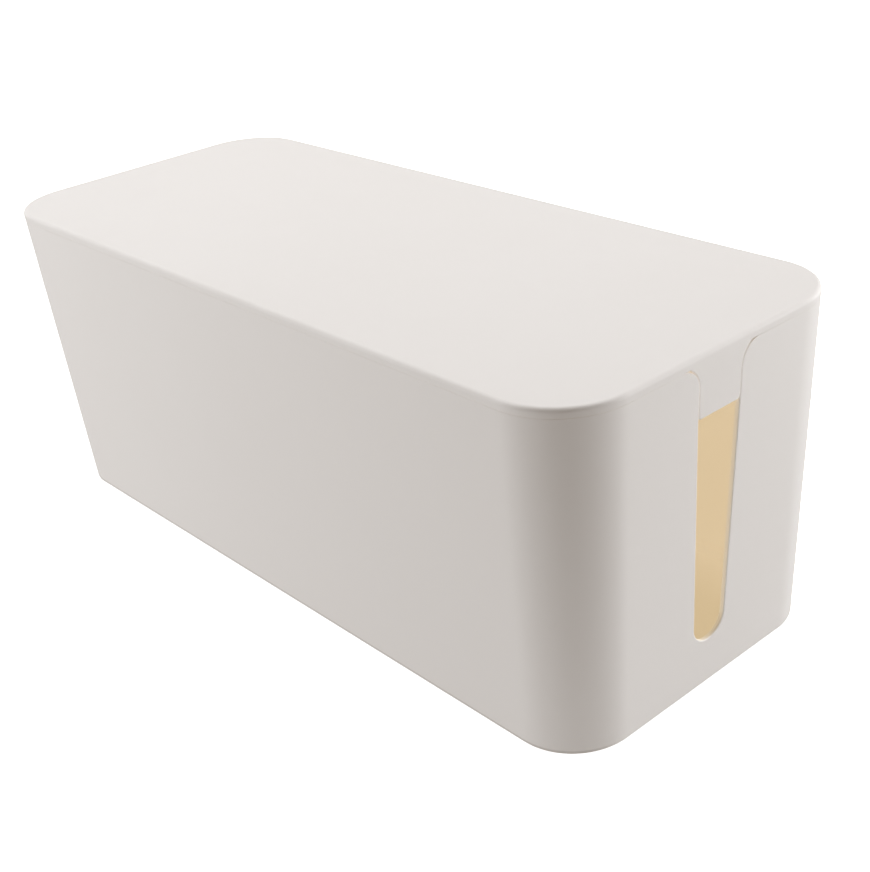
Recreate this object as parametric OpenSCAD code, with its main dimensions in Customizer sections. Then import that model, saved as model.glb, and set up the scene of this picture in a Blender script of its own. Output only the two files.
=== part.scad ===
// Cable management box: a drafted tub with a cable slot in each end, a lift-off lid whose
// tongues close the tops of the slots, and four round rubber feet. Millimetres, +Z up, +X along
// the box. The origin is under the middle of the box, on the surface that the feet stand on.

/* [Box] */
// Length of the closed box, measured at its top
box_length = 400; // [340:1:460]
// Width of the closed box, measured at its top
box_width = 161.5; // [130:0.5:200]
// Height from the surface under the feet to the top of the lid
box_height = 152.5; // [130:0.5:190]
// How far each end wall leans in from the top down to the base
end_draft = 8.6; // [2:0.1:14]
// How far each long wall leans in from the top down to the base
side_draft = 4.8; // [2:0.1:10]
// Corner radius in plan at the top
top_corner_radius = 31.3; // [24:0.1:42]
// Corner radius in plan at the base
base_corner_radius = 28.2; // [20:0.1:40]
// Thickness of the walls of the tub
wall_thickness = 2.4; // [1.6:0.1:3.6]
// Thickness of the floor of the tub
floor_thickness = 2.6; // [2:0.1:5]
// Rounding of the outer edge round the base
base_edge_radius = 1; // [0.4:0.1:2.5]
// Rounding between the floor and the walls, inside the tub
floor_fillet_radius = 3; // [1:0.1:6]

/* [Cable slots] */
// Width of each slot across its round bottom end
slot_width = 18.2; // [12:0.1:26]
// Height of the lowest point of each slot above the base
slot_height = 22; // [12:0.5:50]
// Angle by which each side of a slot leans outwards
slot_lean = 1.67; // [0:0.01:3]
// Radius of the flare where a slot opens into the rim
mouth_radius = 9.3; // [5:0.1:14]

/* [Lid] */
// Height of the band of lid that shows above the rim of the tub
lid_band = 4; // [3.4:0.1:8]
// Thickness of the flat top of the lid
lid_thickness = 2.4; // [1.6:0.1:3]
// Rounding of the edge round the top of the lid
lid_edge_radius = 2; // [0.8:0.1:3]
// How far each tongue reaches down from the rim into its slot
tongue_length = 22.2; // [16:0.1:40]
// Gap left between a tongue and the sides of its slot
tongue_gap = 0.45; // [0.3:0.05:1]
// Thickness of each tongue
tongue_thickness = 2.4; // [1.6:0.1:4]
// Rounding of the lower corners of each tongue
tongue_corner_radius = 1; // [0.4:0.1:3]
// How far the locating rib reaches down inside the tub
rib_depth = 6; // [3:0.1:12]
// Thickness of the locating rib
rib_thickness = 1.6; // [1:0.1:3]
// Gap between the locating rib and the inside of the walls
rib_gap = 0.4; // [0.3:0.05:1]
// Thickness of the gussets that stiffen a tongue
gusset_thickness = 1.6; // [1:0.1:2.5]
// Distance between the two gussets of a tongue, centre to centre
gusset_spacing = 12; // [6:0.1:16]
// How far a gusset runs in under the lid, from the back of its tongue
gusset_reach = 11; // [6:0.1:20]
// How far the foot of a gusset stops above the lower edge of its tongue
gusset_setback = 4; // [2:0.1:8]

/* [Feet] */
// Diameter of each foot
foot_diameter = 14; // [8:0.5:20]
// Thickness of each foot
foot_thickness = 1.8; // [1.2:0.1:3]
// Depth of the seat that each foot is stuck in
foot_seat_depth = 0.8; // [0.3:0.1:1]
// Gap round each foot in its seat
foot_seat_gap = 0.3; // [0.15:0.05:0.6]
// Rounding of the lower edge of each foot
foot_edge_radius = 0.4; // [0.2:0.1:0.8]
// Distance from each end of the base to the middle of the nearest feet
foot_end_inset = 26; // [20:0.5:60]
// Distance from each long side of the base to the middle of the nearest feet
foot_side_inset = 22; // [18:0.5:35]

/* [Hidden] */

// Steps along a quarter circle: round the corners in plan, over an edge, and along a slot
corner_steps = 12;
edge_steps = 5;
slot_steps = 8;
foot_facets = 64;
// How far a cutting shape runs past the surface that it opens
overshoot = 5;

base_z = foot_thickness - foot_seat_depth;
floor_z = base_z + floor_thickness;
seam_z = box_height - lid_band;
lid_under_z = box_height - lid_thickness;
tongue_z = seam_z - tongue_length;
rib_z = seam_z - rib_depth;
rib_inset = wall_thickness + rib_gap;

slot_radius = slot_width / 2;
slot_arc_z = base_z + slot_height + slot_radius;
mouth_arc_z = seam_z - mouth_radius;
mouth_arc_y = (slot_radius + mouth_radius + (mouth_arc_z - slot_arc_z) * sin(slot_lean)) / cos(slot_lean);

foot_x = box_length / 2 - end_draft - foot_end_inset;
foot_y = box_width / 2 - side_draft - foot_side_inset;

// The outer surface: the half length, half width and corner radius in plan at any height.
function lean_at(z) = (box_height - z) / (box_height - base_z);
function half_length_at(z) = box_length / 2 - end_draft * lean_at(z);
function half_width_at(z) = box_width / 2 - side_draft * lean_at(z);
function corner_radius_at(z) = top_corner_radius + (base_corner_radius - top_corner_radius) * lean_at(z);

// One level of the box: a rounded rectangle at height z, set in from the outer surface.
function level(z, inset = 0) =
    let (
        radius = corner_radius_at(z) - inset,
        centre_x = half_length_at(z) - inset - radius,
        centre_y = half_width_at(z) - inset - radius
    )
    [for (corner = [0:3], step = [0:corner_steps])
        let (
            angle = 90 * (corner + step / corner_steps),
            side_x = (corner == 0 || corner == 3) ? 1 : -1,
            side_y = corner < 2 ? 1 : -1
        )
        [side_x * centre_x + radius * cos(angle), side_y * centre_y + radius * sin(angle), z]
    ];

// The levels that round an edge: over a flat underside at height z, and under a flat top at height z.
function lower_edge(z, radius, inset = 0) =
    [for (step = [0:edge_steps])
        let (angle = 90 * step / edge_steps)
        level(z + radius * (1 - cos(angle)), inset + radius * (1 - sin(angle)))
    ];
function upper_edge(z, radius, inset = 0) =
    [for (step = [edge_steps:-1:0])
        let (angle = 90 * step / edge_steps)
        level(z - radius * (1 - cos(angle)), inset + radius * (1 - sin(angle)))
    ];

// Points along an arc, in the plane of an end wall.
function arc(centre, radius, from, to) =
    [for (step = [0:slot_steps])
        let (angle = from + (to - from) * step / slot_steps)
        centre + radius * [cos(angle), sin(angle)]
    ];

function mirrored(points) = [for (i = [len(points) - 1:-1:0]) [-points[i].x, points[i].y]];

// A closed solid skinned over levels. The levels may turn back down, as a cup's do: up the
// outside, over the rim and down the inside. The first is closed from below, the last from above.
module loft(levels) {
    count = len(levels[0]);
    last = len(levels) - 1;
    points = [for (ring = levels) each ring];
    underside = [for (i = [0:count - 1]) i];
    top = [for (i = [count - 1:-1:0]) last * count + i];
    sides = [for (k = [0:last - 1], i = [0:count - 1])
        [
            k * count + i,
            (k + 1) * count + i,
            (k + 1) * count + (i + 1) % count,
            k * count + (i + 1) % count
        ]
    ];
    polyhedron(points, concat([underside], [top], sides), convexity = 4);
}

// Half of a slot's outline, from the middle of its round end up to the rim: the round end, the
// leaning side and the flared mouth.
function slot_side() = concat(
    arc([0, slot_arc_z], slot_radius, -90, -slot_lean),
    arc([mouth_arc_y, mouth_arc_z], mouth_radius, 180 - slot_lean, 90)
);

// Half of a tongue's outline, which follows the slot at the tongue gap.
function tongue_side() =
    let (
        narrowed = slot_radius - tongue_gap,
        flare = mouth_radius + tongue_gap,
        rise = tongue_z + tongue_corner_radius - slot_arc_z,
        corner_y = (narrowed + rise * sin(slot_lean)) / cos(slot_lean) - tongue_corner_radius
    )
    concat(
        arc([corner_y, tongue_z + tongue_corner_radius], tongue_corner_radius, -90, -slot_lean),
        arc([mouth_arc_y, mouth_arc_z], flare, 180 - slot_lean, 180 - asin(mouth_radius / flare))
    );

// Stands a shape drawn in the plane of the end walls upright along the whole box.
module through_both_ends() {
    rotate([90, 0, 90])
        linear_extrude(height = box_length + 2 * overshoot, center = true)
            children();
}

module slots() {
    through_both_ends() {
        half = slot_side();
        rim = [[half[len(half) - 1].x, seam_z + overshoot]];
        polygon(concat(half, rim, mirrored(rim), mirrored(half)));
    }
}

module foot_seats() {
    for (side_x = [-1, 1], side_y = [-1, 1])
        translate([side_x * foot_x, side_y * foot_y, base_z - overshoot])
            cylinder(
                h = overshoot + foot_seat_depth,
                r = foot_diameter / 2 + foot_seat_gap,
                $fn = foot_facets
            );
}

// The walls and floor in one skin: up the outside, over the rim, down the inside to the floor.
module tub() {
    outside = concat(lower_edge(base_z, base_edge_radius), [level(seam_z)]);
    fillet = lower_edge(floor_z, floor_fillet_radius, wall_thickness);
    inside = [for (i = [edge_steps:-1:0]) fillet[i]];
    loft(concat(outside, [level(seam_z, wall_thickness)], inside));
}

module box_body() {
    color("#dcd8d4")
        difference() {
            tub();
            slots();
            foot_seats();
        }
}

// The flat top with its band and locating rib in one skin: down the inside of the rib from the
// underside, back up its outside, out under the band, up the band and over the rounded edge.
module lid_cap() {
    rib_inside = rib_inset + rib_thickness;
    loft(concat(
        [level(lid_under_z, rib_inside), level(rib_z, rib_inside)],
        [level(rib_z, rib_inset), level(seam_z, rib_inset)],
        [level(seam_z)],
        upper_edge(box_height, lid_edge_radius)
    ));
}

// A tongue: its side view, which leans with the end wall and thickens to meet the rib, cut to
// the outline that follows the slot.
module tongue(side_x) {
    half = tongue_side();
    root_x = half_length_at(seam_z) - rib_inset - rib_thickness / 2;
    side_view = [
        [half_length_at(tongue_z), tongue_z],
        [half_length_at(seam_z), seam_z],
        [root_x, seam_z],
        [root_x, rib_z],
        [half_length_at(rib_z) - tongue_thickness, rib_z],
        [half_length_at(tongue_z) - tongue_thickness, tongue_z]
    ];
    intersection() {
        rotate([90, 0, 0])
            linear_extrude(height = box_width, center = true)
                polygon([for (point = side_view) [side_x * point.x, point.y]]);
        through_both_ends()
            polygon(concat(half, mirrored(half)));
    }
}

// A triangular web from the back of a tongue to the underside of the lid.
module gusset(side_x, side_y) {
    foot_z = tongue_z + gusset_setback;
    top_z = lid_under_z + lid_thickness / 2;
    front = tongue_thickness / 2;
    reach_x = half_length_at(lid_under_z) - tongue_thickness - gusset_reach;
    side_view = [
        [half_length_at(foot_z) - front, foot_z],
        [half_length_at(lid_under_z) - front, top_z],
        [reach_x, top_z],
        [reach_x, lid_under_z - gusset_thickness],
        [half_length_at(foot_z) - tongue_thickness, foot_z]
    ];
    translate([0, side_y * gusset_spacing / 2, 0])
        rotate([90, 0, 0])
            linear_extrude(height = gusset_thickness, center = true)
                polygon([for (point = side_view) [side_x * point.x, point.y]]);
}

module lid() {
    color("#e9e6e3")
        union() {
            lid_cap();
            for (side_x = [-1, 1]) {
                tongue(side_x);
                for (side_y = [-1, 1])
                    gusset(side_x, side_y);
            }
        }
}

// A foot with a rounded lower edge, turned from its profile.
module foot(side_x, side_y) {
    rounding = arc([foot_diameter / 2 - foot_edge_radius, foot_edge_radius], foot_edge_radius, -90, 0);
    color("#c9c6c2")
        translate([side_x * foot_x, side_y * foot_y, 0])
            rotate_extrude($fn = foot_facets)
                polygon(concat([[0, 0]], rounding, [[foot_diameter / 2, foot_thickness], [0, foot_thickness]]));
}

box_body();
lid();
foot(-1, -1);  // foot_front_left
foot(1, -1);  // foot_front_right
foot(-1, 1);  // foot_back_left
foot(1, 1);  // foot_back_right
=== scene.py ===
import math
import bmesh
import bpy
from mathutils import Matrix, Vector


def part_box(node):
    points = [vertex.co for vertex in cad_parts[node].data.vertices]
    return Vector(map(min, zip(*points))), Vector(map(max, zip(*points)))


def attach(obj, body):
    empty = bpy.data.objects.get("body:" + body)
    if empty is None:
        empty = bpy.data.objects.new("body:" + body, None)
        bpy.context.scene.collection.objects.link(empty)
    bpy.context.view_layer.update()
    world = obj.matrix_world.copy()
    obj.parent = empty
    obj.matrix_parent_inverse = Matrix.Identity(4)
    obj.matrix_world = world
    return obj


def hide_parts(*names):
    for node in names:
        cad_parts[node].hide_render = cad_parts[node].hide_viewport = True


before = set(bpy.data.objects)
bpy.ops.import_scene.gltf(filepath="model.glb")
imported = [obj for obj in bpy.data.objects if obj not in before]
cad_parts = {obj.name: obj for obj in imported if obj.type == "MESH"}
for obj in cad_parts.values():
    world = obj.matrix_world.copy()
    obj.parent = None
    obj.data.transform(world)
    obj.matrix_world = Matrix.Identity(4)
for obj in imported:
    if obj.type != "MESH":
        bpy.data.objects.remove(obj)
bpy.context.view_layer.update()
tubLow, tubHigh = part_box("box_body")
lidLow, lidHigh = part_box("lid")
footLow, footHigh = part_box("foot_back_right")
print("stage 1: frame loaded")

# the drafted shape that the tub and the lid share
boxForm = {
    "length": 0.400,
    "width": 0.1615,
    "top": lidHigh.z,
    "base": tubLow.z,
    "endDraft": 0.0086,
    "sideDraft": 0.0048,
    "topRadius": 0.0313,
    "baseRadius": 0.0282,
    "cornerSteps": 28,
}
# points closer than this become one: in a tree's seams, and after the booleans
weldForm = {
    "seam": 0.000001,
    "cut": 0.000002,
}

# ---- small helpers for node trees


# a value on its way between nodes: arithmetic on it adds Math nodes
class Wire:
    def __init__(self, board, socket):
        self.board = board
        self.socket = socket

    def out(self, name):
        return Wire(self.board, self.socket.node.outputs[name])

    def math(self, operation, *others):
        return self.board.maths(operation, self, *others)

    def clamped(self):
        return self.math("MAXIMUM", 0).math("MINIMUM", 1)

    def __add__(self, other):
        return self.math("ADD", other)

    def __sub__(self, other):
        return self.math("SUBTRACT", other)

    def __mul__(self, other):
        return self.math("MULTIPLY", other)

    def __truediv__(self, other):
        return self.math("DIVIDE", other)

    def __radd__(self, other):
        return self.board.maths("ADD", other, self)

    def __rsub__(self, other):
        return self.board.maths("SUBTRACT", other, self)

    def __rmul__(self, other):
        return self.board.maths("MULTIPLY", other, self)

    def __rtruediv__(self, other):
        return self.board.maths("DIVIDE", other, self)


# a node tree under construction
class Board:
    def __init__(self, tree):
        self.tree = tree

    # any node: its type, its settings (set first), its sockets' values or links
    def node(self, kind, settings=None, values=None, output=0):
        made = self.tree.nodes.new(kind)
        for name, value in (settings or {}).items():
            setattr(made, name, value)
        for name, value in (values or {}).items():
            for each in value if isinstance(value, list) else [value]:
                self.plug(each, made.inputs[name])
        return Wire(self, made.outputs[output]) if made.outputs else made

    def plug(self, value, socket):
        if isinstance(value, Wire):
            self.tree.links.new(value.socket, socket)
        else:
            socket.default_value = value

    def maths(self, operation, *values):
        return self.node("ShaderNodeMath", {"operation": operation}, dict(enumerate(values)))

    def mix(self, factor, first, second):
        return self.node(
            "ShaderNodeMix",
            {"data_type": "RGBA"},
            {"Factor": factor, "A": first, "B": second},
            "Result",
        )


def newGeometryTree(name, inputs):
    tree = bpy.data.node_groups.new(name, "GeometryNodeTree")
    tree.interface.new_socket("Geometry", in_out="INPUT", socket_type="NodeSocketGeometry")
    for label, kind in inputs.items():
        tree.interface.new_socket(label, in_out="INPUT", socket_type="NodeSocket" + kind)
    tree.interface.new_socket("Geometry", in_out="OUTPUT", socket_type="NodeSocketGeometry")
    board = Board(tree)
    return board, board.node("NodeGroupInput")


# how many points a section has
def countPoints(board, section):
    return board.node(
        "GeometryNodeAttributeDomainSize",
        {"component": "MESH"},
        {"Geometry": section},
        "Point Count",
    )


# the place of a section's point number row, split in X, Y and Z
def sectionPoint(board, section, row):
    here = board.node("GeometryNodeInputPosition")
    sampled = board.node(
        "GeometryNodeSampleIndex",
        {"data_type": "FLOAT_VECTOR", "domain": "POINT"},
        {"Geometry": section, "Value": here, "Index": row},
    )
    return board.node("ShaderNodeSeparateXYZ", {}, {"Vector": sampled})


# a flat sheet of points, with the number of the column and of the row that each is in
def numberedSheet(board, columns, rows):
    sheet = board.node("GeometryNodeMeshGrid", {}, {
        "Size X": 1.0,
        "Size Y": 1.0,
        "Vertices X": columns,
        "Vertices Y": rows,
    })
    here = board.node("GeometryNodeInputPosition")
    place = board.node("ShaderNodeSeparateXYZ", {}, {"Vector": here})
    column = ((place.out("X") + 0.5) * (columns - 1)).math("ROUND")
    row = ((place.out("Y") + 0.5) * (rows - 1)).math("ROUND")
    return sheet, column, row


# seams and poles closed, and smooth in shading
def closeSeams(board, geometry):
    merged = board.node("GeometryNodeMergeByDistance", {}, {
        "Geometry": geometry,
        "Distance": weldForm["seam"],
    })
    return board.node("GeometryNodeSetShadeSmooth", {}, {"Geometry": merged})


def finishTree(board, geometry, material):
    whole = board.node("GeometryNodeRealizeInstances", {}, {"Geometry": geometry})
    painted = board.node("GeometryNodeSetMaterial", {}, {"Geometry": whole, "Material": material})
    board.node("NodeGroupOutput", {}, {"Geometry": painted})
    return board.tree


# the tree runs on an object, which becomes a plain mesh
def runTree(piece, tree, inputs):
    modifier = piece.modifiers.new(tree.name, "NODES")
    modifier.node_group = tree
    for item in tree.interface.items_tree:
        if item.in_out == "INPUT" and item.name in inputs:
            modifier[item.identifier] = inputs[item.name]
    bakeModifiers(piece)


# ---- small helpers for meshes


def bakeModifiers(piece):
    bpy.context.view_layer.update()
    ready = piece.evaluated_get(bpy.context.evaluated_depsgraph_get())
    mesh = bpy.data.meshes.new_from_object(ready)
    piece.modifiers.clear()
    piece.data = mesh
    mesh.name = piece.name


def newPiece(name, points, edges=(), faces=()):
    mesh = bpy.data.meshes.new(name)
    mesh.from_pydata(points, edges, faces)
    mesh.update()
    piece = bpy.data.objects.new(name, mesh)
    bpy.context.scene.collection.objects.link(piece)
    return piece


# a section, as (across, up) points, drawn as a line of edges for a tree to carry round
def newSection(name, section):
    points = [(across, 0, up) for across, up in section]
    return newPiece(name, points, [(i, i + 1) for i in range(len(points) - 1)])


# a closed solid between two outlines of as many points
def newPrism(name, first, second, material):
    count = len(first)
    faces = [tuple(reversed(range(count))), tuple(range(count, 2 * count))]
    for i in range(count):
        j = (i + 1) % count
        faces.append((i, j, count + j, count + i))
    prism = newPiece(name, first + second, faces=faces)
    prism.data.materials.append(material)
    faceOutwards(prism)
    return prism


def faceOutwards(piece):
    sheet = bmesh.new()
    sheet.from_mesh(piece.data)
    if sheet.calc_volume(signed=True) < 0:
        bmesh.ops.reverse_faces(sheet, faces=sheet.faces)
    sheet.to_mesh(piece.data)
    sheet.free()


# a part is cut out of the piece or fused to it, and is used up
def combine(piece, part, operation):
    modifier = piece.modifiers.new("combine", "BOOLEAN")
    modifier.operation = operation
    modifier.solver = "EXACT"
    modifier.object = part
    bakeModifiers(piece)
    bpy.data.objects.remove(part)


def smoothAll(piece):
    piece.data.polygons.foreach_set("use_smooth", [True] * len(piece.data.polygons))


# a number from 0 to 1 at each point, which the plastic's colour and glow go by
def markPoints(piece, name, rule):
    layer = piece.data.attributes.new(name, "FLOAT", "POINT")
    for vertex, item in zip(piece.data.vertices, layer.data):
        item.value = min(max(rule(vertex.co), 0), 1)


def arc(centre, radius, start, stop, steps):
    turns = [math.radians(start + (stop - start) * i / steps) for i in range(steps + 1)]
    return [(centre[0] + radius * math.cos(t), centre[1] + radius * math.sin(t)) for t in turns]


def mirrored(points):
    return [(-y, z) for y, z in reversed(points)]


# ---- materials

satinPlastic = {
    # the outer skin in its two slow tones, and the little light that comes through it
    "outer": (0.798, 0.796, 0.797, 1),
    "outerDeep": (0.779, 0.774, 0.772, 1),
    "outerGlow": (0.060, 0.028, 0.0, 1),
    # the inner side: its own off-white with painted warm light from the walls mixed into the
    # colour, and the glow of the light that comes through the walls there
    "innerWarmLit": (0.800, 0.765, 0.690, 1),
    "innerWarmLitDeep": (0.785, 0.745, 0.665, 1),
    "innerGlow": (0.204, 0.170, 0.1235, 1),
    # the floor's weaker glow, and where the walls' glow takes over: upwards and outwards
    "floorGlow": (0.130, 0.106, 0.068, 1),
    "floorHeight": 0.004,
    "glowRise": 0.0055,
    "floorMiddle": 0.042,
    "floorFade": 0.036,
    # more light comes out of the cut faces of the slots and the tongues
    "cutGlow": (0.115, 0.118, 0.125),
    # a faint line of shade low on the long sides
    "baseLine": (0.61, 0.605, 0.60, 1),
    "baseLineTop": 0.0031,
    "baseLineFade": 0.0007,
    "baseLineSide": 0.050,
    "baseLineTurn": 0.014,
    # the noises, of which the grain's is 0.42 mm across
    "clouds": {"scale": 9.0, "detail": 2.0, "roughness": 0.55},
    "flow": {"scale": 34.0, "detail": 4.0, "roughness": 0.6},
    "scuffs": {"scale": 420.0, "detail": 5.0, "roughness": 0.7},
    "grain": {"scale": 1 / 0.00042, "detail": 2.0, "roughness": 0.6},
    # how the clouds and the flow mix the two tones
    "cloudShare": 0.65,
    "toneStart": 0.35,
    "toneContrast": 1.6,
    # gloss and relief
    "roughness": 0.58,
    "flowSwing": 0.08,
    "scuffSwing": 0.10,
    "scuffRelief": 0.5,
    "grainRelief": 0.8,
    "grainDepth": 0.000012,
    "bump": 0.35,
    "ior": 1.5,
    "specular": 0.5,
}
rubber = {
    "light": (0.36, 0.355, 0.345, 1),
    "dark": (0.27, 0.265, 0.26, 1),
    "dust": {"scale": 160.0, "detail": 4.0, "roughness": 0.65},
    "grain": {"scale": 2600.0, "detail": 2.0, "roughness": 0.55},
    "dustStart": 0.35,
    "dustContrast": 2.2,
    "dustRelief": 0.4,
    "dustSwing": 0.2,
    "roughness": 0.82,
    "grainRelief": 0.6,
    "grainDepth": 0.00004,
    "bump": 0.5,
    "specular": 0.4,
}


def noise(board, place, form):
    values = {
        "Vector": place,
        "Scale": form["scale"],
        "Detail": form["detail"],
        "Roughness": form["roughness"],
    }
    return board.node("ShaderNodeTexNoise", {"noise_dimensions": "3D"}, values, "Fac")


def pointMark(board, name):
    return board.node("ShaderNodeAttribute", {"attribute_name": name}, output="Fac")


def newMaterial(name):
    material = bpy.data.materials.new(name)
    material.use_nodes = True
    material.node_tree.nodes.clear()
    return material, Board(material.node_tree)


def finishMaterial(board, values):
    surface = board.node("ShaderNodeBsdfPrincipled", {}, values)
    board.node("ShaderNodeOutputMaterial", {}, {"Surface": surface})


# off-white moulded plastic with a fine satin grain; warm where light has come through the walls,
# as painted light in its colour and as glow
def makeSatinPlastic(name, look, seed):
    material, board = newMaterial(name)
    coords = board.node("ShaderNodeTexCoord", output="Object")
    axes = board.node("ShaderNodeSeparateXYZ", {}, {"Vector": coords})
    height = axes.out("Z")
    across = axes.out("Y").math("ABSOLUTE")
    inward = pointMark(board, "inward")
    place = board.node(
        "ShaderNodeMapping",
        {"vector_type": "POINT"},
        {"Vector": coords, "Location": (seed, seed * 2, seed * 3)},
    )
    clouds = noise(board, place, look["clouds"])
    flow = noise(board, place, look["flow"])
    grain = noise(board, place, look["grain"])
    scuffs = noise(board, place, look["scuffs"])

    mottle = clouds * look["cloudShare"] + flow * (1 - look["cloudShare"])
    tone = (mottle - look["toneStart"]) * look["toneContrast"]
    outer = board.mix(tone, look["outer"], look["outerDeep"])
    # the inner side's colour: the plastic's off-white with painted warm light from the walls
    innerWarmLit = board.mix(tone, look["innerWarmLit"], look["innerWarmLitDeep"])
    # the line of shade thins out round the corners
    low = (look["baseLineTop"] - height) / look["baseLineFade"]
    side = (across - look["baseLineSide"]) / look["baseLineTurn"]
    shade = low.clamped() * side.clamped()
    colour = board.mix(shade, board.mix(inward, outer, innerWarmLit), look["baseLine"])

    # the floor's glow is weakest along its middle
    rise = (height - look["floorHeight"]) / look["glowRise"]
    nearWall = (across - look["floorMiddle"]) / look["floorFade"]
    innerGlow = board.mix(rise.math("MAXIMUM", nearWall), look["floorGlow"], look["innerGlow"])
    throughWall = board.mix(inward, look["outerGlow"], innerGlow)
    glow = board.node(
        "ShaderNodeVectorMath",
        {"operation": "MULTIPLY_ADD"},
        {0: pointMark(board, "cut"), 1: look["cutGlow"], 2: throughWall},
    )

    gloss = (flow - 0.5) * look["flowSwing"] + (scuffs - 0.5) * look["scuffSwing"]
    relief = grain * look["grainRelief"] + scuffs * look["scuffRelief"]
    bump = board.node(
        "ShaderNodeBump",
        {},
        {"Strength": look["bump"], "Distance": look["grainDepth"], "Height": relief},
    )
    finishMaterial(board, {
        "Base Color": colour,
        "Roughness": look["roughness"] + gloss,
        "IOR": look["ior"],
        "Specular IOR Level": look["specular"],
        "Emission Color": glow,
        "Emission Strength": 1.0,
        "Normal": bump,
    })
    return material


# soft grey rubber, lighter where dust has stuck to it
def makeRubber(name, look):
    material, board = newMaterial(name)
    place = board.node("ShaderNodeTexCoord", output="Object")
    dust = noise(board, place, look["dust"])
    grain = noise(board, place, look["grain"])
    dusty = (dust - look["dustStart"]) * look["dustContrast"]
    relief = grain * look["grainRelief"] + dust * look["dustRelief"]
    bump = board.node(
        "ShaderNodeBump",
        {},
        {"Strength": look["bump"], "Distance": look["grainDepth"], "Height": relief},
    )
    finishMaterial(board, {
        "Base Color": board.mix(dusty, look["dark"], look["light"]),
        "Roughness": look["roughness"] + (dust - 0.5) * look["dustSwing"],
        "Specular IOR Level": look["specular"],
        "Normal": bump,
    })
    return material


tubPlastic = makeSatinPlastic("tub plastic", satinPlastic, 0.37)
lidPlastic = makeSatinPlastic("lid plastic", satinPlastic, 1.61)
footRubber = makeRubber("foot rubber", rubber)
print("stage 2: materials made")

# ---- the drafted form

# how close a point has to be to count as on a face, by an edge or on the rim
nearTo = {
    "face": 0.0001,
    "edge": 0.0002,
    "rim": 0.00001,
}


def leanAt(z):
    return (boxForm["top"] - z) / (boxForm["top"] - boxForm["base"])


def halfLengthAt(z):
    return boxForm["length"] / 2 - boxForm["endDraft"] * leanAt(z)


def halfWidthAt(z):
    return boxForm["width"] / 2 - boxForm["sideDraft"] * leanAt(z)


def cornerRadiusAt(z):
    return boxForm["topRadius"] + (boxForm["baseRadius"] - boxForm["topRadius"]) * leanAt(z)


# how far a point lies inside the outer surface at its own height
def insetOf(point):
    radius = cornerRadiusAt(point.z)
    overX = abs(point.x) - halfLengthAt(point.z) + radius
    overY = abs(point.y) - halfWidthAt(point.z) + radius
    beyond = math.hypot(max(overX, 0), max(overY, 0)) + min(max(overX, overY), 0)
    return radius - beyond


# a moulding's section, as (inset, z) points, carried round the drafted rounded rectangle
def makeLoftTree():
    board, given = newGeometryTree("moulding round the box", {
        "Length": "Float",
        "Width": "Float",
        "Top": "Float",
        "Base": "Float",
        "End Draft": "Float",
        "Side Draft": "Float",
        "Top Radius": "Float",
        "Base Radius": "Float",
        "Corner Steps": "Int",
        "Material": "Material",
    })
    section = given.out("Geometry")
    steps = given.out("Corner Steps")
    around = (steps + 1) * 4
    rows = countPoints(board, section)

    # where the ring's point number column lies, on the section's point number row
    def ringPoint(column, row):
        corner = (column / (steps + 1)).math("FLOOR")
        angle = (corner + (column - corner * (steps + 1)) / steps) * (math.pi / 2)
        middle = (corner + 0.5) * (math.pi / 2)
        point = sectionPoint(board, section, row)
        inset = point.out("X")
        z = point.out("Z")
        lean = (given.out("Top") - z) / (given.out("Top") - given.out("Base"))
        halfLength = given.out("Length") * 0.5 - given.out("End Draft") * lean
        halfWidth = given.out("Width") * 0.5 - given.out("Side Draft") * lean
        change = given.out("Base Radius") - given.out("Top Radius")
        radius = given.out("Top Radius") + change * lean - inset
        centreX = halfLength - inset - radius
        centreY = halfWidth - inset - radius
        return board.node("ShaderNodeCombineXYZ", {}, {
            "X": middle.math("COSINE").math("SIGN") * centreX + angle.math("COSINE") * radius,
            "Y": middle.math("SINE").math("SIGN") * centreY + angle.math("SINE") * radius,
            "Z": z,
        })

    sheet, column, row = numberedSheet(board, around + 1, rows)
    wall = board.node("GeometryNodeSetPosition", {}, {
        "Geometry": sheet,
        "Position": ringPoint(column.math("MODULO", around), row),
    })
    # a flat face closes the ring at each end of the section
    index = board.node("GeometryNodeInputIndex")
    ends = []
    for endRow in (0, rows - 1):
        disc = board.node("GeometryNodeMeshCircle", {"fill_type": "NGON"}, {"Vertices": around})
        ends.append(board.node("GeometryNodeSetPosition", {}, {
            "Geometry": disc,
            "Position": ringPoint(index, endRow),
        }))
    ends[0] = board.node("GeometryNodeFlipFaces", {}, {"Mesh": ends[0]})
    joined = board.node("GeometryNodeJoinGeometry", {}, {"Geometry": [wall] + ends})
    return finishTree(board, closeSeams(board, joined), given.out("Material"))


loftTree = makeLoftTree()


def makeMoulding(name, section, material):
    piece = newSection(name, section)
    runTree(piece, loftTree, {
        "Length": boxForm["length"],
        "Width": boxForm["width"],
        "Top": boxForm["top"],
        "Base": boxForm["base"],
        "End Draft": boxForm["endDraft"],
        "Side Draft": boxForm["sideDraft"],
        "Top Radius": boxForm["topRadius"],
        "Base Radius": boxForm["baseRadius"],
        "Corner Steps": boxForm["cornerSteps"],
        "Material": material,
    })
    faceOutwards(piece)
    return piece


# small moulded radii on the sharp outer edges, with the flats kept flat in shading
softForm = {
    "sharpAngle": 38,
    "steps": 4,
}


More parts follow.
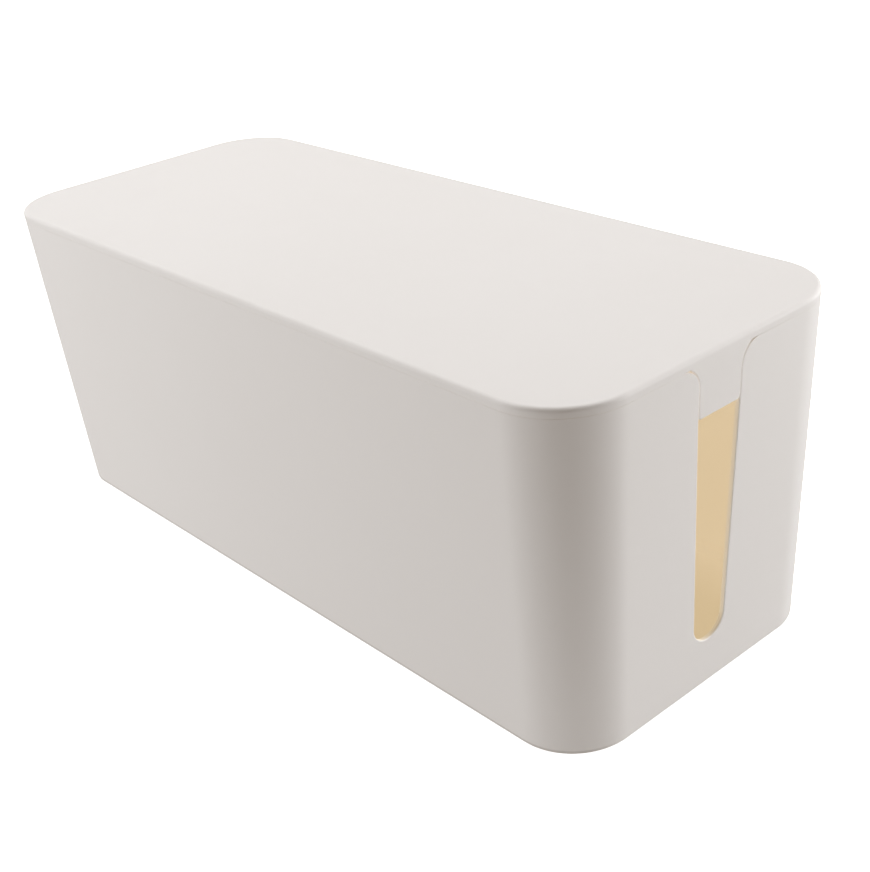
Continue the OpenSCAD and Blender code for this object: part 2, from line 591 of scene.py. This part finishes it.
def softenEdges(piece, radius, share):
    sheet = bmesh.new()
    sheet.from_mesh(piece.data)
    bmesh.ops.remove_doubles(sheet, verts=sheet.verts, dist=weldForm["cut"])
    weights = sheet.edges.layers.float.new("bevel_weight_edge")
    for edge in sheet.edges:
        if edge.is_convex and edge.calc_face_angle() > math.radians(softForm["sharpAngle"]):
            edge[weights] = share((edge.verts[0].co + edge.verts[1].co) / 2)
    sheet.to_mesh(piece.data)
    sheet.free()
    bevel = piece.modifiers.new("soft edges", "BEVEL")
    bevel.width = radius
    bevel.segments = softForm["steps"]
    bevel.limit_method = "WEIGHT"
    bevel.use_clamp_overlap = False
    weigh = piece.modifiers.new("flat normals", "WEIGHTED_NORMAL")
    weigh.mode = "FACE_AREA"
    weigh.keep_sharp = True
    bakeModifiers(piece)


# ---- slots

slotForm = {
    "width": 0.0182,
    "height": 0.022,
    "lean": 1.67,
    "mouthRadius": 0.0093,
    "steps": 18,
    "overshoot": 0.006,
    "shadeStep": 0.0006,
}
slotRadius = slotForm["width"] / 2
slotLean = math.radians(slotForm["lean"])
slotArcZ = boxForm["base"] + slotForm["height"] + slotRadius
mouthArcZ = tubHigh.z - slotForm["mouthRadius"]
mouthRise = (mouthArcZ - slotArcZ) * math.sin(slotLean)
mouthArcY = (slotRadius + slotForm["mouthRadius"] + mouthRise) / math.cos(slotLean)


# right half of a slot's outline in (y, z), from its lowest point up to the rim
def slotSide():
    lower = arc((0, slotArcZ), slotRadius, -90, -slotForm["lean"], slotForm["steps"])
    mouth = (mouthArcY, mouthArcZ)
    flare = arc(mouth, slotForm["mouthRadius"], 180 - slotForm["lean"], 90, slotForm["steps"])
    # two points close to the height of the tongue's foot, where the marks on the cut face change
    straight = []
    for z in (lidLow.z - slotForm["shadeStep"], lidLow.z + slotForm["shadeStep"]):
        share = (z - lower[-1][1]) / (flare[0][1] - lower[-1][1])
        straight.append((lower[-1][0] + (flare[0][0] - lower[-1][0]) * share, z))
    return lower + straight + flare


# both slots at once: a bar along the box, which stands out past its ends and above its rim
def makeSlotCutter():
    half = slotSide()
    rim = [(half[-1][0], tubHigh.z + slotForm["overshoot"])]
    outline = half + rim + mirrored(rim) + mirrored(half)[:-1]
    reach = boxForm["length"] / 2 + slotForm["overshoot"]
    near, far = [[(x, y, z) for y, z in outline] for x in (-reach, reach)]
    return newPrism("slot cutter", near, far, tubPlastic)


# ---- tub

tubForm = {
    "wall": 0.0024,
    "floor": 0.0026,
    "baseEdge": 0.0010,
    "floorFillet": 0.0030,
    "edgeSteps": 6,
    "softEdge": 0.00070,
    "rimShare": 0.17,
    "seatGap": 0.0003,
    "seatTurns": 64,
    "seatShare": 0.2,
    "glowDepth": 0.0009,
    "cutStart": 0.0002,
    "cutEnd": 0.0003,
    "openShare": 0.35,
}
tubMidFloor = boxForm["base"] + tubForm["floor"] / 2


# the tub's section: up the outside, over the rim, down the inside to the floor
def tubSection():
    base = boxForm["base"]
    edge = tubForm["baseEdge"]
    fillet = tubForm["floorFillet"]
    wall = tubForm["wall"]
    floorZ = base + tubForm["floor"]
    steps = tubForm["edgeSteps"]
    outside = arc((edge, base + edge), edge, -90, -180, steps)
    inside = arc((wall + fillet, floorZ + fillet), fillet, -180, -90, steps)
    return outside + [(0, tubHigh.z), (wall, tubHigh.z)] + inside


# a round seat for one foot, from under the base up to the foot's top
def makeSeatCutter(x, y):
    radius = (footHigh.x - footLow.x) / 2 + tubForm["seatGap"]
    turns = [math.tau * i / tubForm["seatTurns"] for i in range(tubForm["seatTurns"])]
    under, over = [
        [(x + radius * math.cos(turn), y + radius * math.sin(turn), z) for turn in turns]
        for z in (footLow.z, footHigh.z)
    ]
    return newPrism("seat cutter", under, over, tubPlastic)


# the slots' open edges are soft; the rim, the foot seats and what a tongue closes are crisper
def tubEdgeShare(co):
    if co.z < tubMidFloor:
        return tubForm["seatShare"]
    return tubForm["rimShare"] if co.z > lidLow.z else 1


# where light has come through the walls: past the outer skin, but not under the floor and not
# on the slot's faces that the lid's tongue covers
def tubInward(co):
    inset = insetOf(co)
    covered = lidLow.z < co.z < tubHigh.z - nearTo["rim"] and abs(co.y) < mouthArcY
    if co.z < tubMidFloor or (covered and inset < tubForm["wall"] - nearTo["face"]):
        return 0
    return inset / tubForm["glowDepth"]


# the slots' cut faces, where more light comes out of the wall: all of them beside a tongue, and
# only their outer edges where a slot is open
def tubCut(co):
    inset = insetOf(co)
    if co.z < tubMidFloor or co.z > tubHigh.z - nearTo["face"] or abs(co.y) > mouthArcY:
        return 0
    if co.z > lidLow.z:
        return inset / tubForm["cutStart"] if inset < tubForm["wall"] - nearTo["face"] else 0
    share = min(inset / tubForm["cutStart"], (tubForm["softEdge"] - inset) / tubForm["cutEnd"])
    return min(share, tubForm["openShare"])


def makeTub():
    tub = makeMoulding("tub_shell", tubSection(), tubPlastic)
    combine(tub, makeSlotCutter(), "DIFFERENCE")
    footX = (footLow.x + footHigh.x) / 2
    footY = (footLow.y + footHigh.y) / 2
    for sideX in (-1, 1):
        for sideY in (-1, 1):
            combine(tub, makeSeatCutter(sideX * footX, sideY * footY), "DIFFERENCE")
    smoothAll(tub)
    softenEdges(tub, tubForm["softEdge"], tubEdgeShare)
    markPoints(tub, "inward", tubInward)
    markPoints(tub, "cut", tubCut)
    return tub


tub = makeTub()
print("stage 3: tub made,", len(tub.data.polygons), "faces")

# ---- lid

lidForm = {
    "thickness": 0.0024,
    "edge": 0.0020,
    "edgeSteps": 8,
    "ribDepth": 0.0060,
    "ribThickness": 0.0016,
    "ribGap": 0.0004,
    "softEdge": 0.00060,
    "bandShare": 0.25,
    "backShare": 0.3,
}
tongueForm = {
    "gap": 0.00045,
    "ease": 0.0009,
    "thickness": 0.0024,
    "cornerRadius": 0.0010,
    "cornerSteps": 6,
    "gussetThickness": 0.0016,
    "gussetSpacing": 0.012,
    "gussetReach": 0.011,
    "gussetSetback": 0.004,
}
ribInset = tubForm["wall"] + lidForm["ribGap"]
ribZ = tubHigh.z - lidForm["ribDepth"]
underZ = lidHigh.z - lidForm["thickness"]
tongueCornerZ = lidLow.z + tongueForm["cornerRadius"]


# the lid's section: down the inside of the rib, up its outside, out under the band and over
def lidSection():
    inside = ribInset + lidForm["ribThickness"]
    edge = lidForm["edge"]
    rounded = arc((edge, lidHigh.z - edge), edge, 180, 90, lidForm["edgeSteps"])
    return [
        (inside, underZ),
        (inside, ribZ),
        (ribInset, ribZ),
        (ribInset, tubHigh.z),
        (0, tubHigh.z),
    ] + rounded


# right half of a tongue's outline in (y, z): it follows the slot at the tongue's gap, and its
# flare is eased a little more, so the gap opens towards the flare's tip
def tongueSide():
    narrowed = slotRadius - tongueForm["gap"]
    flare = slotForm["mouthRadius"] + tongueForm["gap"] + tongueForm["ease"]
    flareY = mouthArcY + tongueForm["ease"] / math.cos(slotLean)
    corner = tongueForm["cornerRadius"]
    rise = (tongueCornerZ - slotArcZ) * math.sin(slotLean)
    cornerY = (narrowed + rise) / math.cos(slotLean) - corner
    lean = slotForm["lean"]
    lower = arc((cornerY, tongueCornerZ), corner, -90, -lean, tongueForm["cornerSteps"])
    stop = 180 - math.degrees(math.asin(slotForm["mouthRadius"] / flare))
    upper = arc((flareY, mouthArcZ), flare, 180 - lean, stop, slotForm["steps"])
    return lower + upper


# a plate that leans with the end wall, between two depths, with an outline in (y, z)
def makeLeaningPlate(name, side, outline, outerInset, innerInset):
    back, front = [
        [(side * (halfLengthAt(z) - inset), y, z) for y, z in outline]
        for inset in (innerInset, outerInset)
    ]
    return newPrism(name, back, front, lidPlastic)


# an upright plate along the box, with an outline in (x, z)
def makeGusset(outline, y):
    half = tongueForm["gussetThickness"] / 2
    front, back = [[(x, y + step, z) for x, z in outline] for step in (-half, half)]
    return newPrism("gusset", front, back, lidPlastic)


# the plate in the slot, the root that joins it to the rib, and two gussets behind it
def makeTongue(lid, side):
    half = tongueSide()
    back = tongueForm["thickness"]
    plate = makeLeaningPlate("tongue", side, half + mirrored(half), 0, back)
    combine(lid, plate, "UNION")
    rootHalf = [point for point in half if point[1] > ribZ]
    rootHalf = [(rootHalf[0][0], ribZ)] + rootHalf
    rootBack = ribInset + lidForm["ribThickness"] / 2
    root = makeLeaningPlate("root", side, rootHalf + mirrored(rootHalf), back / 2, rootBack)
    combine(lid, root, "UNION")
    footZ = lidLow.z + tongueForm["gussetSetback"]
    topZ = underZ + lidForm["thickness"] / 2
    reachX = halfLengthAt(underZ) - back - tongueForm["gussetReach"]
    outline = [
        (halfLengthAt(footZ) - back / 2, footZ),
        (halfLengthAt(underZ) - back / 2, topZ),
        (reachX, topZ),
        (reachX, underZ - tongueForm["gussetThickness"]),
        (halfLengthAt(footZ) - back, footZ),
    ]
    sided = [(side * x, z) for x, z in outline]
    for sideY in (-1, 1):
        gusset = makeGusset(sided, sideY * tongueForm["gussetSpacing"] / 2)
        combine(lid, gusset, "UNION")


# where light has come through the lid: all but its top, its band and the tongues' outer sides
def lidInward(co):
    if co.z > lidHigh.z - lidForm["edge"] - nearTo["edge"]:
        return 0
    inset = insetOf(co)
    return inset / tubForm["glowDepth"] if inset > tongueForm["thickness"] - nearTo["face"] else 0


# a tongue's sides, where light comes out of it too
def lidCut(co):
    inset = insetOf(co)
    if co.z > tubHigh.z - nearTo["face"] or inset > tongueForm["thickness"] - nearTo["face"]:
        return 0
    most = tubForm["openShare"] if co.z < tongueCornerZ else 1
    return min(inset / tubForm["cutStart"], most)


# a tongue's lower edge is soft and its sides are as crisp as the band, and the edges are sharp
# where its root meets the rib
def lidEdgeShare(co):
    if insetOf(co) < nearTo["face"]:
        return 1 if co.z < tongueCornerZ else lidForm["bandShare"]
    nearRoot = abs(co.y) < mouthArcY and co.z > ribZ - nearTo["edge"]
    return 0 if nearRoot else lidForm["backShare"]


def makeLid():
    lid = makeMoulding("lid_shell", lidSection(), lidPlastic)
    for side in (-1, 1):
        makeTongue(lid, side)
    smoothAll(lid)
    softenEdges(lid, lidForm["softEdge"], lidEdgeShare)
    markPoints(lid, "inward", lidInward)
    markPoints(lid, "cut", lidCut)
    return lid


lid = makeLid()
print("stage 4: lid made,", len(lid.data.polygons), "faces")

# ---- feet, one turned section set out under the four corners

footForm = {
    "radius": (footHigh.x - footLow.x) / 2,
    "edge": 0.0004,
    "edgeSteps": 5,
    "dishDepth": 0.0005,
    "dishRadius": 0.0042,
    # the dish's section from its middle outwards, in shares of its radius and its depth
    "dishLine": ((0, 1), (0.75, 1), (0.93, 0.8), (1, 0)),
    "turns": 64,
}


# a foot's section as (radius, z): a shallow dish in the sole, the rounded edge, the side, the top
def footSection():
    radius = footForm["radius"]
    edge = footForm["edge"]
    dish = footForm["dishRadius"]
    deep = footForm["dishDepth"]
    sole = [(dish * outward, deep * upward) for outward, upward in footForm["dishLine"]]
    rounded = arc((radius - edge, edge), edge, -90, 0, footForm["edgeSteps"])
    return sole + rounded + [(radius, footHigh.z), (0, footHigh.z)]


def makeFeetTree():
    board, given = newGeometryTree("turned feet", {
        "Turns": "Int",
        "Spread X": "Float",
        "Spread Y": "Float",
        "Material": "Material",
    })
    section = given.out("Geometry")
    turns = given.out("Turns")
    sheet, column, row = numberedSheet(board, turns + 1, countPoints(board, section))
    angle = column * math.tau / turns
    point = sectionPoint(board, section, row)
    turned = board.node("ShaderNodeCombineXYZ", {}, {
        "X": point.out("X") * angle.math("COSINE"),
        "Y": point.out("X") * angle.math("SINE"),
        "Z": point.out("Z"),
    })
    foot = board.node("GeometryNodeSetPosition", {}, {"Geometry": sheet, "Position": turned})
    corners = board.node("GeometryNodeMeshGrid", {}, {
        "Size X": given.out("Spread X"),
        "Size Y": given.out("Spread Y"),
        "Vertices X": 2,
        "Vertices Y": 2,
    })
    placed = board.node("GeometryNodeInstanceOnPoints", {}, {
        "Points": corners,
        "Instance": closeSeams(board, foot),
    })
    return finishTree(board, placed, given.out("Material"))


def makeFeet():
    feet = newSection("rubber_feet", footSection())
    runTree(feet, makeFeetTree(), {
        "Turns": footForm["turns"],
        "Spread X": footLow.x + footHigh.x,
        "Spread Y": footLow.y + footHigh.y,
        "Material": footRubber,
    })
    faceOutwards(feet)
    edges = feet.modifiers.new("flat normals", "WEIGHTED_NORMAL")
    edges.mode = "FACE_AREA"
    bakeModifiers(feet)
    return feet


feet = makeFeet()
print("stage 5: feet made,", len(feet.data.polygons), "faces")

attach(tub, "tub")
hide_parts("box_body")
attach(lid, "lid")
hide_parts("lid")
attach(feet, "tub")
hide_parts("foot_front_left", "foot_front_right", "foot_back_left", "foot_back_right")

# ---- stage, light and camera

stageForm = {
    "size": 9.0,
    "colour": (0.93, 0.93, 0.93, 1),
    "colourDeep": (0.90, 0.90, 0.90, 1),
    "mottle": {"scale": 3.0, "detail": 3.0, "roughness": 0.55},
    "roughness": 0.9,
    "specular": 0.1,
    "glow": 1.0,
    "sky": 1.0,
}
lightForm = {
    "distance": 1.4,
    "aim": (0, 0, 0.08),
}
# each softbox's place round the box in degrees, its size in metres and its power in watts
softboxes = {
    "right front": {"azimuth": 30, "elevation": 5, "size": 0.9, "power": 8.6},
    "right": {"azimuth": 60, "elevation": 5, "size": 0.9, "power": 11.1},
    "top back": {"azimuth": 90, "elevation": 70, "size": 0.9, "power": 12.1},
    "top left": {"azimuth": 180, "elevation": 50, "size": 0.9, "power": 7.1},
    "left": {"azimuth": 230, "elevation": 2, "size": 0.4, "power": 7.45},
    "low left": {"azimuth": 240, "elevation": -12, "size": 0.9, "power": 2.25},
    "front": {"azimuth": 250, "elevation": 25, "size": 0.9, "power": 4.7},
    "low front": {"azimuth": 315, "elevation": -45, "size": 0.9, "power": 5.8},
}
# a small white card's worth of light in front of the near corner
cardForm = {
    "place": (0.245, -0.125, -0.02),
    "size": 0.1,
    "power": 0.0095,
}
# angles in degrees, the target and the distance in metres, the focal length in the frame's pixels
cameraForm = {
    "target": (0.0740, -0.0108, 0.0796),
    "azimuth": 49.60,
    "elevation": 27.13,
    "roll": -5.20,
    "distance": 0.6065,
    "focalPixels": 1403.7,
    "framePixels": 872,
    "sensor": 36.0,
    "shift": -0.0459,
}


def makeFloor():
    half = stageForm["size"] / 2
    corners = [(-half, -half, 0), (half, -half, 0), (half, half, 0), (-half, half, 0)]
    floor = newPiece("floor", corners, faces=[(0, 1, 2, 3)])
    material, board = newMaterial("pale floor")
    place = board.node("ShaderNodeTexCoord", output="Object")
    mottle = noise(board, place, stageForm["mottle"])
    finishMaterial(board, {
        "Base Color": board.mix(mottle, stageForm["colour"], stageForm["colourDeep"]),
        "Roughness": stageForm["roughness"],
        "Specular IOR Level": stageForm["specular"],
        "Emission Color": (1, 1, 1, 1),
        "Emission Strength": stageForm["glow"],
    })
    floor.data.materials.append(material)
    # light from under the floor passes it, and stands for what a white table sends back up
    floor.visible_diffuse = False
    floor.visible_glossy = False
    floor.visible_shadow = False


def makeSoftbox(name, place, aim, size, power):
    lamp = bpy.data.lights.new(name, "AREA")
    lamp.shape = "SQUARE"
    lamp.size = size
    lamp.energy = power
    box = bpy.data.objects.new(name, lamp)
    box.location = place
    box.rotation_euler = (aim - place).to_track_quat("-Z", "Y").to_euler()
    box.visible_camera = False
    bpy.context.scene.collection.objects.link(box)


def makeLights():
    aim = Vector(lightForm["aim"])
    for name, form in softboxes.items():
        turn = math.radians(form["azimuth"])
        rise = math.radians(form["elevation"])
        away = Vector((
            math.cos(turn) * math.cos(rise),
            math.sin(turn) * math.cos(rise),
            math.sin(rise),
        ))
        place = aim + away * lightForm["distance"]
        makeSoftbox(name, place, aim, form["size"], form["power"])
    card = Vector(cardForm["place"])
    makeSoftbox("corner card", card, card + Vector((0, 0, 1)), cardForm["size"], cardForm["power"])


def makeCamera(form):
    turn = math.radians(form["azimuth"])
    rise = math.radians(form["elevation"])
    roll = math.radians(form["roll"])
    back = Vector((
        math.sin(turn) * math.cos(rise),
        -math.cos(turn) * math.cos(rise),
        math.sin(rise),
    ))
    level = Vector((math.cos(turn), math.sin(turn), 0))
    upright = back.cross(level)
    right = level * math.cos(roll) + upright * math.sin(roll)
    up = upright * math.cos(roll) - level * math.sin(roll)
    data = bpy.data.cameras.new("camera")
    data.sensor_width = form["sensor"]
    data.lens = form["focalPixels"] * form["sensor"] / form["framePixels"]
    data.shift_x = form["shift"]
    camera = bpy.data.objects.new("camera", data)
    columns = Matrix((right, up, back)).transposed().to_4x4()
    place = Vector(form["target"]) + back * form["distance"]
    camera.matrix_world = Matrix.Translation(place) @ columns
    bpy.context.scene.collection.objects.link(camera)
    bpy.context.scene.camera = camera


# a white backdrop that lights nothing
def makeSky():
    world = bpy.data.worlds.new("studio")
    world.use_nodes = True
    world.node_tree.nodes["Background"].inputs["Color"].default_value = (1, 1, 1, 1)
    world.node_tree.nodes["Background"].inputs["Strength"].default_value = stageForm["sky"]
    world.cycles_visibility.diffuse = False
    world.cycles_visibility.glossy = False
    world.cycles_visibility.transmission = False
    bpy.context.scene.world = world


makeFloor()
makeLights()
makeCamera(cameraForm)
makeSky()
bpy.context.scene.view_settings.view_transform = "Standard"
print("stage 6: floor, lights and camera set")
